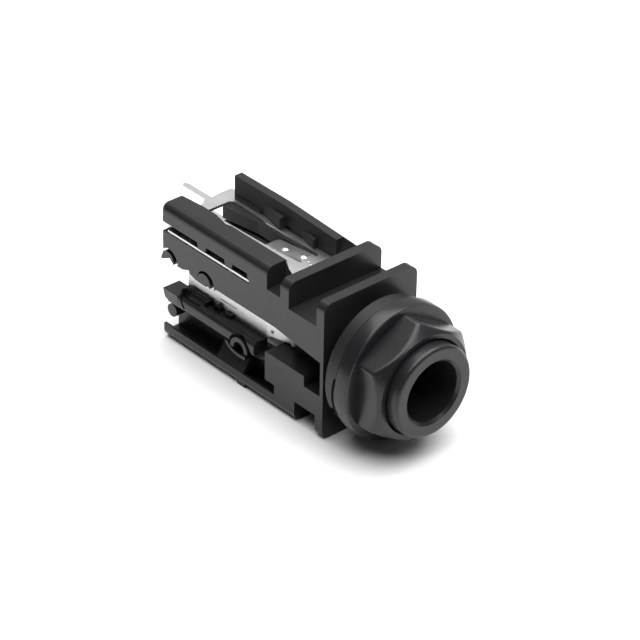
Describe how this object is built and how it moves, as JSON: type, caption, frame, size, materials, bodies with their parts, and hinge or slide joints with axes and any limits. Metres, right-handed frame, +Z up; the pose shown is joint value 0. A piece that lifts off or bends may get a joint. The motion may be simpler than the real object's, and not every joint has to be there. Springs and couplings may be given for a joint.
{
  "type": "quarter-inch stereo jack socket",
  "caption": "Panel jack socket in black plastic: open-sided body, two flanges, round threaded nose with flanged hexagon nut and washer, stamped contacts and rear pins.",
  "frame": {"origin": "On the plug bore's axis, in the plane of the front flange's face, which meets the panel.", "axes": "+Z up, +Y back from the panel along the way the plug goes in, +X to the right as seen from the front."},
  "size_m": [0.0146, 0.0392, 0.0157],
  "materials": {
    "black_plastic": "moulded, fine matt",
    "nut_plastic": "moulded, slightly glossy",
    "contact_metal": "stamped sheet, bright plated",
    "point_metal": "rivet, silvery"
  },
  "bodies": {
    "body": {"housing": "black_plastic", "tip_contact": "contact_metal", "ring_contact": "contact_metal", "sleeve_contact": "contact_metal", "tip_break_contact": "contact_metal", "ring_break_contact": "contact_metal", "tip_contact_point": "point_metal", "ring_contact_point": "point_metal"},
    "washer": {"washer": "nut_plastic"},
    "nut": {"hex_nut": "nut_plastic"}
  },
  "joints": [
    {"name": "nut_travel", "type": "slide", "parent": "body", "child": "washer", "axis": [0, -1, 0], "range_m": [-0.0011, 0.004]},
    {"name": "nut_turn", "type": "hinge", "parent": "washer", "child": "nut", "pos_m": [0, -0.005, 0], "axis": [0, -1, 0], "range_deg": [-400, 1445]}
  ],
  "couplings": [
    {"joint": "nut_turn", "follows": "nut_travel", "rad_per_m": 6283.2}
  ]
}
